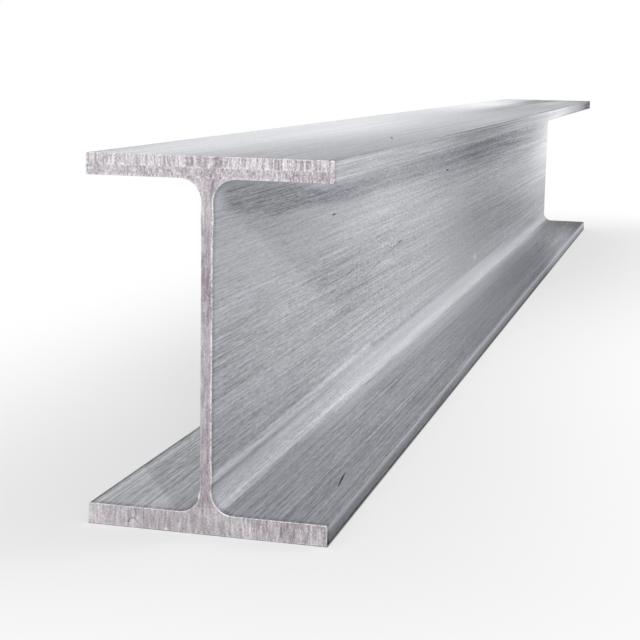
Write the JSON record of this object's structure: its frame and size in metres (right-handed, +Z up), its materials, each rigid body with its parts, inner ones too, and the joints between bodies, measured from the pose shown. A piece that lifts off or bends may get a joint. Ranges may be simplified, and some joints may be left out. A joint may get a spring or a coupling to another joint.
{
  "type": "steel i-beam",
  "caption": "Length of hot-rolled wide-flange steel I-beam, sawn square at both ends, for columns, lintels and framing.",
  "frame": {"origin": "centre of the beam's underside, half way along it, on the floor that it stands on", "axes": "+Y along the beam; +X across the flanges; +Z up the web, from the lower flange to the upper"},
  "size_m": [0.3, 3.65, 0.45],
  "materials": {
    "rolled_steel": "satin"
  },
  "bodies": {
    "root": {"i_beam": "rolled_steel"}
  },
  "joints": []
}
